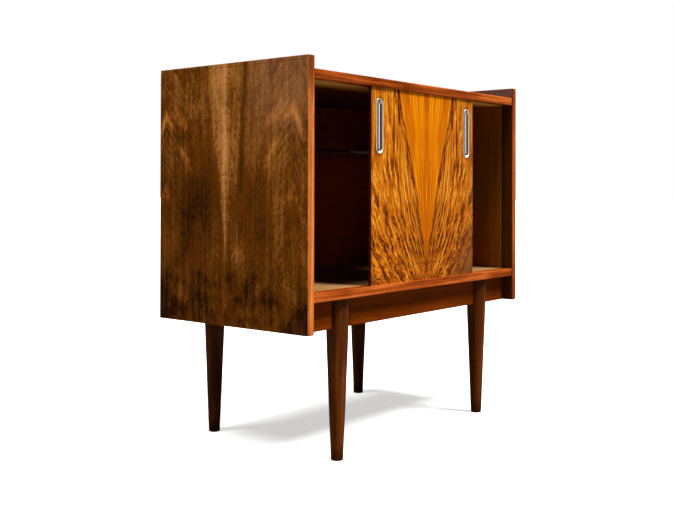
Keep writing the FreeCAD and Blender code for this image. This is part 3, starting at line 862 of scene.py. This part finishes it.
def roundRod(start, end, radius, axis):
    # A short rod along X or Y, closed and eased at its ends.
    ease = radius * rodShape["ease"]
    along = np.array([0, 0, ease, end - start - ease, end - start, end - start])
    around = np.array([0, radius - ease, radius, radius, radius - ease, 0])
    rod = lathe(around, along, (0, 0, start), rodShape["sides"])
    return rod[..., [2, 0, 1]] if axis == "X" else rod[..., [1, 2, 0]]


fastenerSteel = steelMaterial()
back = boxOf("back_screws")[1][1] / mm
places = [(x, z) for x in screw["columns"] for z in screw["rows"]]
places += [(x, z) for x in screw["sides"] for z in screw["upright"]]
neck = screw["head"] - screw["shank"] + screw["sunk"]
shank = roundRod(back - screw["length"], back - neck, screw["shank"], "Y") * mm
shanks = [shank + [x * mm, 0, z * mm] for x, z in places]
makePiece("backScrews", [screwHead(x, z, back) for x, z in places] + shanks, fastenerSteel, "cabinet",
          ["back_screws"])

pin = {"radius": 2.2, "spigot": 10.0, "blade": (9.0, 10.0, 3.0), "round": 0.8, "drop": 1.0, "inset": 32.0,
       "wall": 377.0}
shelfLow, shelfHigh = boxOf("glass_shelf")
pins = []
for depth in (shelfLow[1] / mm + pin["inset"], shelfHigh[1] / mm - pin["inset"]):
    for hand in (-1, 1):
        length, width, thick = pin["blade"]
        tip, root = hand * (pin["wall"] - length), hand * (pin["wall"] + pin["spigot"])
        top = shelfLow[2] / mm
        rod = roundRod(min(tip, root), max(tip, root), pin["radius"], "X")
        pins.append((rod + [0, depth, top - thick / 2 - pin["drop"]]) * mm)
        wall = hand * pin["wall"]
        low = np.array([min(tip, wall), depth - width / 2, top - thick])
        pins.append(roundedBoard(low * mm, (low + pin["blade"]) * mm, pin["round"] * mm)[0])
makePiece("shelfPins", pins, fastenerSteel, "cabinet", ["shelf_pins"])
dress("leg_bolts", fastenerSteel)
print("shelf and fittings finished")


# Floor, light and camera

stage = {"floor": (0.50, 0.4975, 0.494), "floorPale": (0.55, 0.5475, 0.544),
         "floorCloud": 900.0, "floorSpread": 0.15, "floorRough": 0.9, "reach": 40.0,
         "bounce": (0.14, 0.1395, 0.139), "lift": 0.58, "liftColour": (1.0, 0.995, 0.99, 1.0),
         "ambient": 0.16, "ambientMiddle": 0.6, "ambientSlope": 0.45, "lampAway": 4.0,
         "softbox": {"turn": 19.0, "rise": 4.0, "power": 2.6, "core": 0.996, "fringe": 0.980},
         "key": {"turn": 18.0, "rise": 60.0, "power": 8.2, "spread": 18.0},
         "fill": {"turn": -94.0, "rise": 66.0, "power": 6.4, "spread": 30.0}}


def towardsLight(light):
    turn, rise = np.radians([light["turn"], light["rise"]])
    return Vector((np.sin(turn) * np.cos(rise), -np.cos(turn) * np.cos(rise), np.sin(rise)))


def floorMaterial():
    material, tree, shader, x, y, z = newMaterial("paleFloor")
    tone = noise(tree, x / stage["floorCloud"], y / stage["floorCloud"], 0.0, 2.0)
    colour = blendColours(tree, tone * stage["floorSpread"], stage["floor"], stage["floorPale"])
    # Pale to look at, but it throws little light back up at the object
    seen = Wire(tree, tree.nodes.new("ShaderNodeLightPath").outputs["Is Camera Ray"])
    colour = blendColours(tree, seen, stage["bounce"], colour)
    tree.links.new(colour.socket, shader.inputs["Base Color"])
    shader.inputs["Emission Color"].default_value = stage["liftColour"]
    plug(tree, shader.inputs["Emission Strength"], seen * stage["lift"])
    shader.inputs["Roughness"].default_value = stage["floorRough"]
    return material


def addSun(name, light):
    lamp = bpy.data.lights.new(name, "SUN")
    lamp.energy = light["power"]
    lamp.angle = np.radians(light["spread"])
    towards = towardsLight(light)
    holder = bpy.data.objects.new(name, lamp)
    holder.rotation_euler = towards.to_track_quat("Z", "Y").to_euler()
    holder.location = towards * stage["lampAway"]
    bpy.context.scene.collection.objects.link(holder)


reach = stage["reach"]
floorMesh = bpy.data.meshes.new("floor")
corners = [(-reach, -reach, 0), (reach, -reach, 0), (reach, reach, 0), (-reach, reach, 0)]
floorMesh.from_pydata(corners, [], [(0, 1, 2, 3)])
floorMesh.materials.append(floorMaterial())
floor = bpy.data.objects.new("floor", floorMesh)
bpy.context.scene.collection.objects.link(floor)
floor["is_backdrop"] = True

world = bpy.data.worlds.new("studio")
world.use_nodes = True
sky = world.node_tree
ray = Wire(sky, sky.nodes.new("ShaderNodeLightPath").outputs["Is Camera Ray"])
glow = sky.nodes["Background"]
direction = sky.nodes.new("ShaderNodeTexCoord").outputs["Generated"]
aim = sky.nodes.new("ShaderNodeVectorMath")
aim.operation = "DOT_PRODUCT"
sky.links.new(direction, aim.inputs[0])
aim.inputs[1].default_value = towardsLight(stage["softbox"])
across = sky.nodes.new("ShaderNodeSeparateXYZ")
sky.links.new(direction, across.inputs[0])
# A small soft window on the right of a room that dims to the left.
# Plain white where the camera sees past the floor.
window = Wire(sky, aim.outputs["Value"]).rise(stage["softbox"]["fringe"], stage["softbox"]["core"])
room = (Wire(sky, across.outputs[0]) * stage["ambientSlope"] + stage["ambientMiddle"]) * stage["ambient"]
light = room + window * stage["softbox"]["power"]
plug(sky, glow.inputs["Color"], (1.0, 1.0, 1.0, 1.0))
plug(sky, glow.inputs["Strength"], light + ray * (1.0 - light))
bpy.context.scene.world = world
addSun("key", stage["key"])
addSun("fill", stage["fill"])

camera = {"place": (-1.7684, -1.3791, 0.5394), "turn": 51.133, "rise": 0.465, "roll": 0.140,
          "lens": 51.61, "sensor": 36.0, "shift": -0.1134}
turn, rise, roll = np.radians([camera["turn"], camera["rise"], camera["roll"]])
ahead = Vector((np.sin(turn) * np.cos(rise), np.cos(turn) * np.cos(rise), np.sin(rise)))
right = Vector((np.cos(turn), -np.sin(turn), 0))
up = right.cross(ahead)
tiltedRight = right * np.cos(roll) + up * np.sin(roll)
tiltedUp = up * np.cos(roll) - right * np.sin(roll)
lens = bpy.data.cameras.new("camera")
lens.lens = camera["lens"]
lens.sensor_width = camera["sensor"]
lens.sensor_fit = "HORIZONTAL"
lens.shift_y = camera["shift"]
eye = bpy.data.objects.new("camera", lens)
facingAhead = Matrix((tiltedRight, tiltedUp, -ahead)).transposed().to_4x4()
eye.matrix_world = Matrix.Translation(camera["place"]) @ facingAhead
bpy.context.scene.collection.objects.link(eye)
bpy.context.scene.camera = eye
bpy.context.scene.view_settings.view_transform = "Standard"
print("stage set")

low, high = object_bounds()
